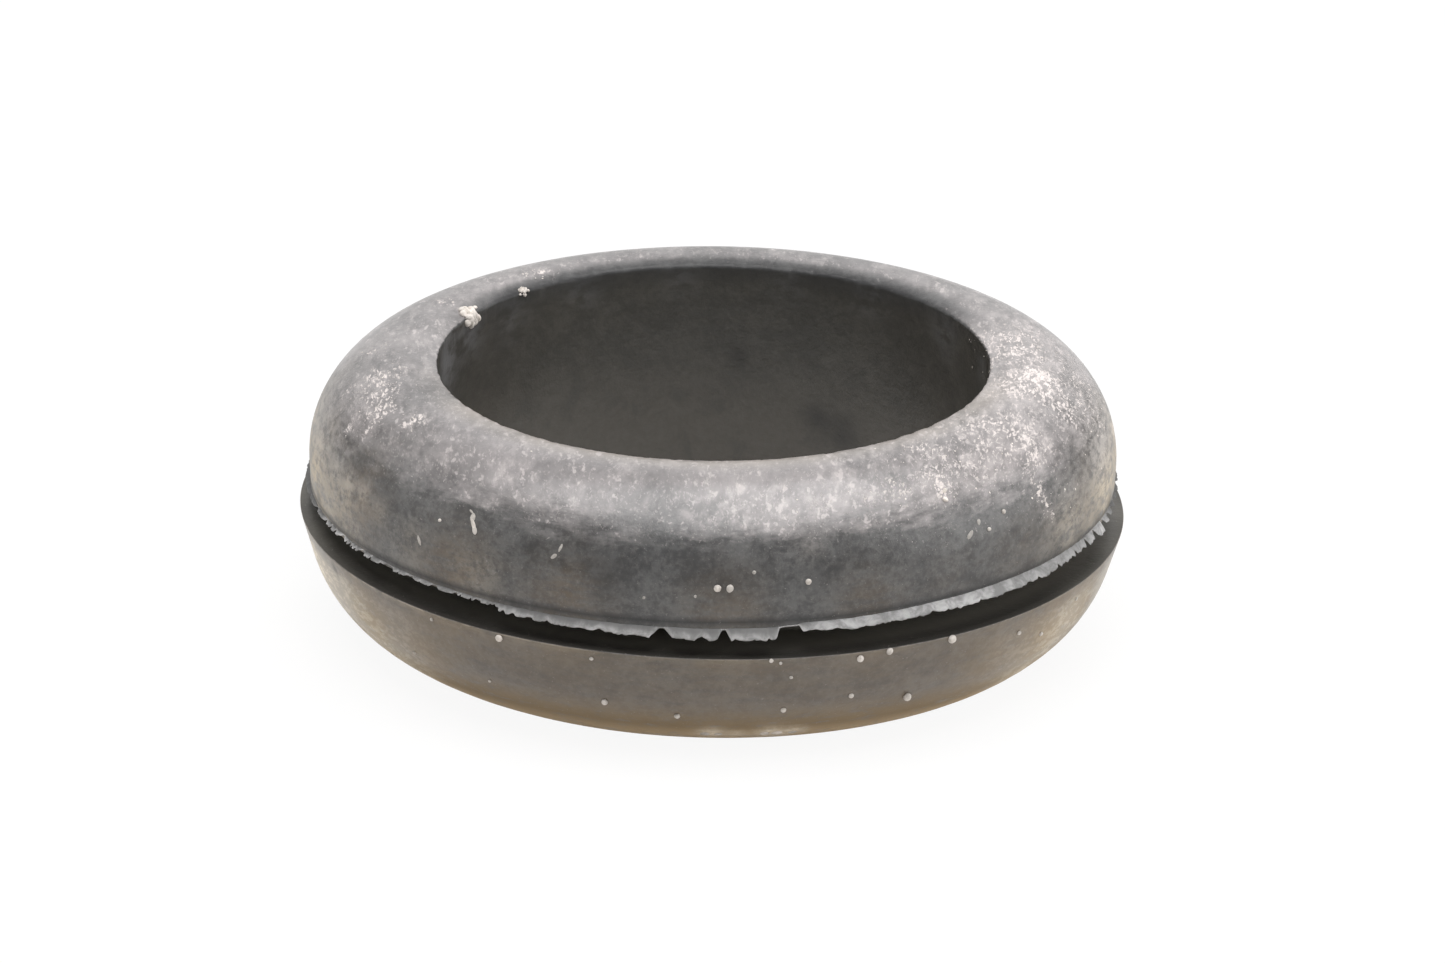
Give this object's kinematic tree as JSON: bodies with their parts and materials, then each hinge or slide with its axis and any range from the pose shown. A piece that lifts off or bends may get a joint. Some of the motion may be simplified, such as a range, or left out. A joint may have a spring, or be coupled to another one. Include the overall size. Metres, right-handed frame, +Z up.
{
  "type": "rubber grommet",
  "caption": "Round rubber panel grommet: domed flanges on a short neck, a groove that grips the edge of a panel hole, and a straight bore for cables.",
  "frame": {"origin": "centre of the flat ring that the grommet rests on", "axes": "+Z up along the bore, +X towards the side where the upper flange leans high, -Y towards the front"},
  "size_m": [0.0383, 0.0382, 0.0131],
  "materials": {
    "rubber": "matt, aged, with pale dust and a light bloom"
  },
  "bodies": {
    "root": {"grommet": "rubber"}
  },
  "joints": []
}
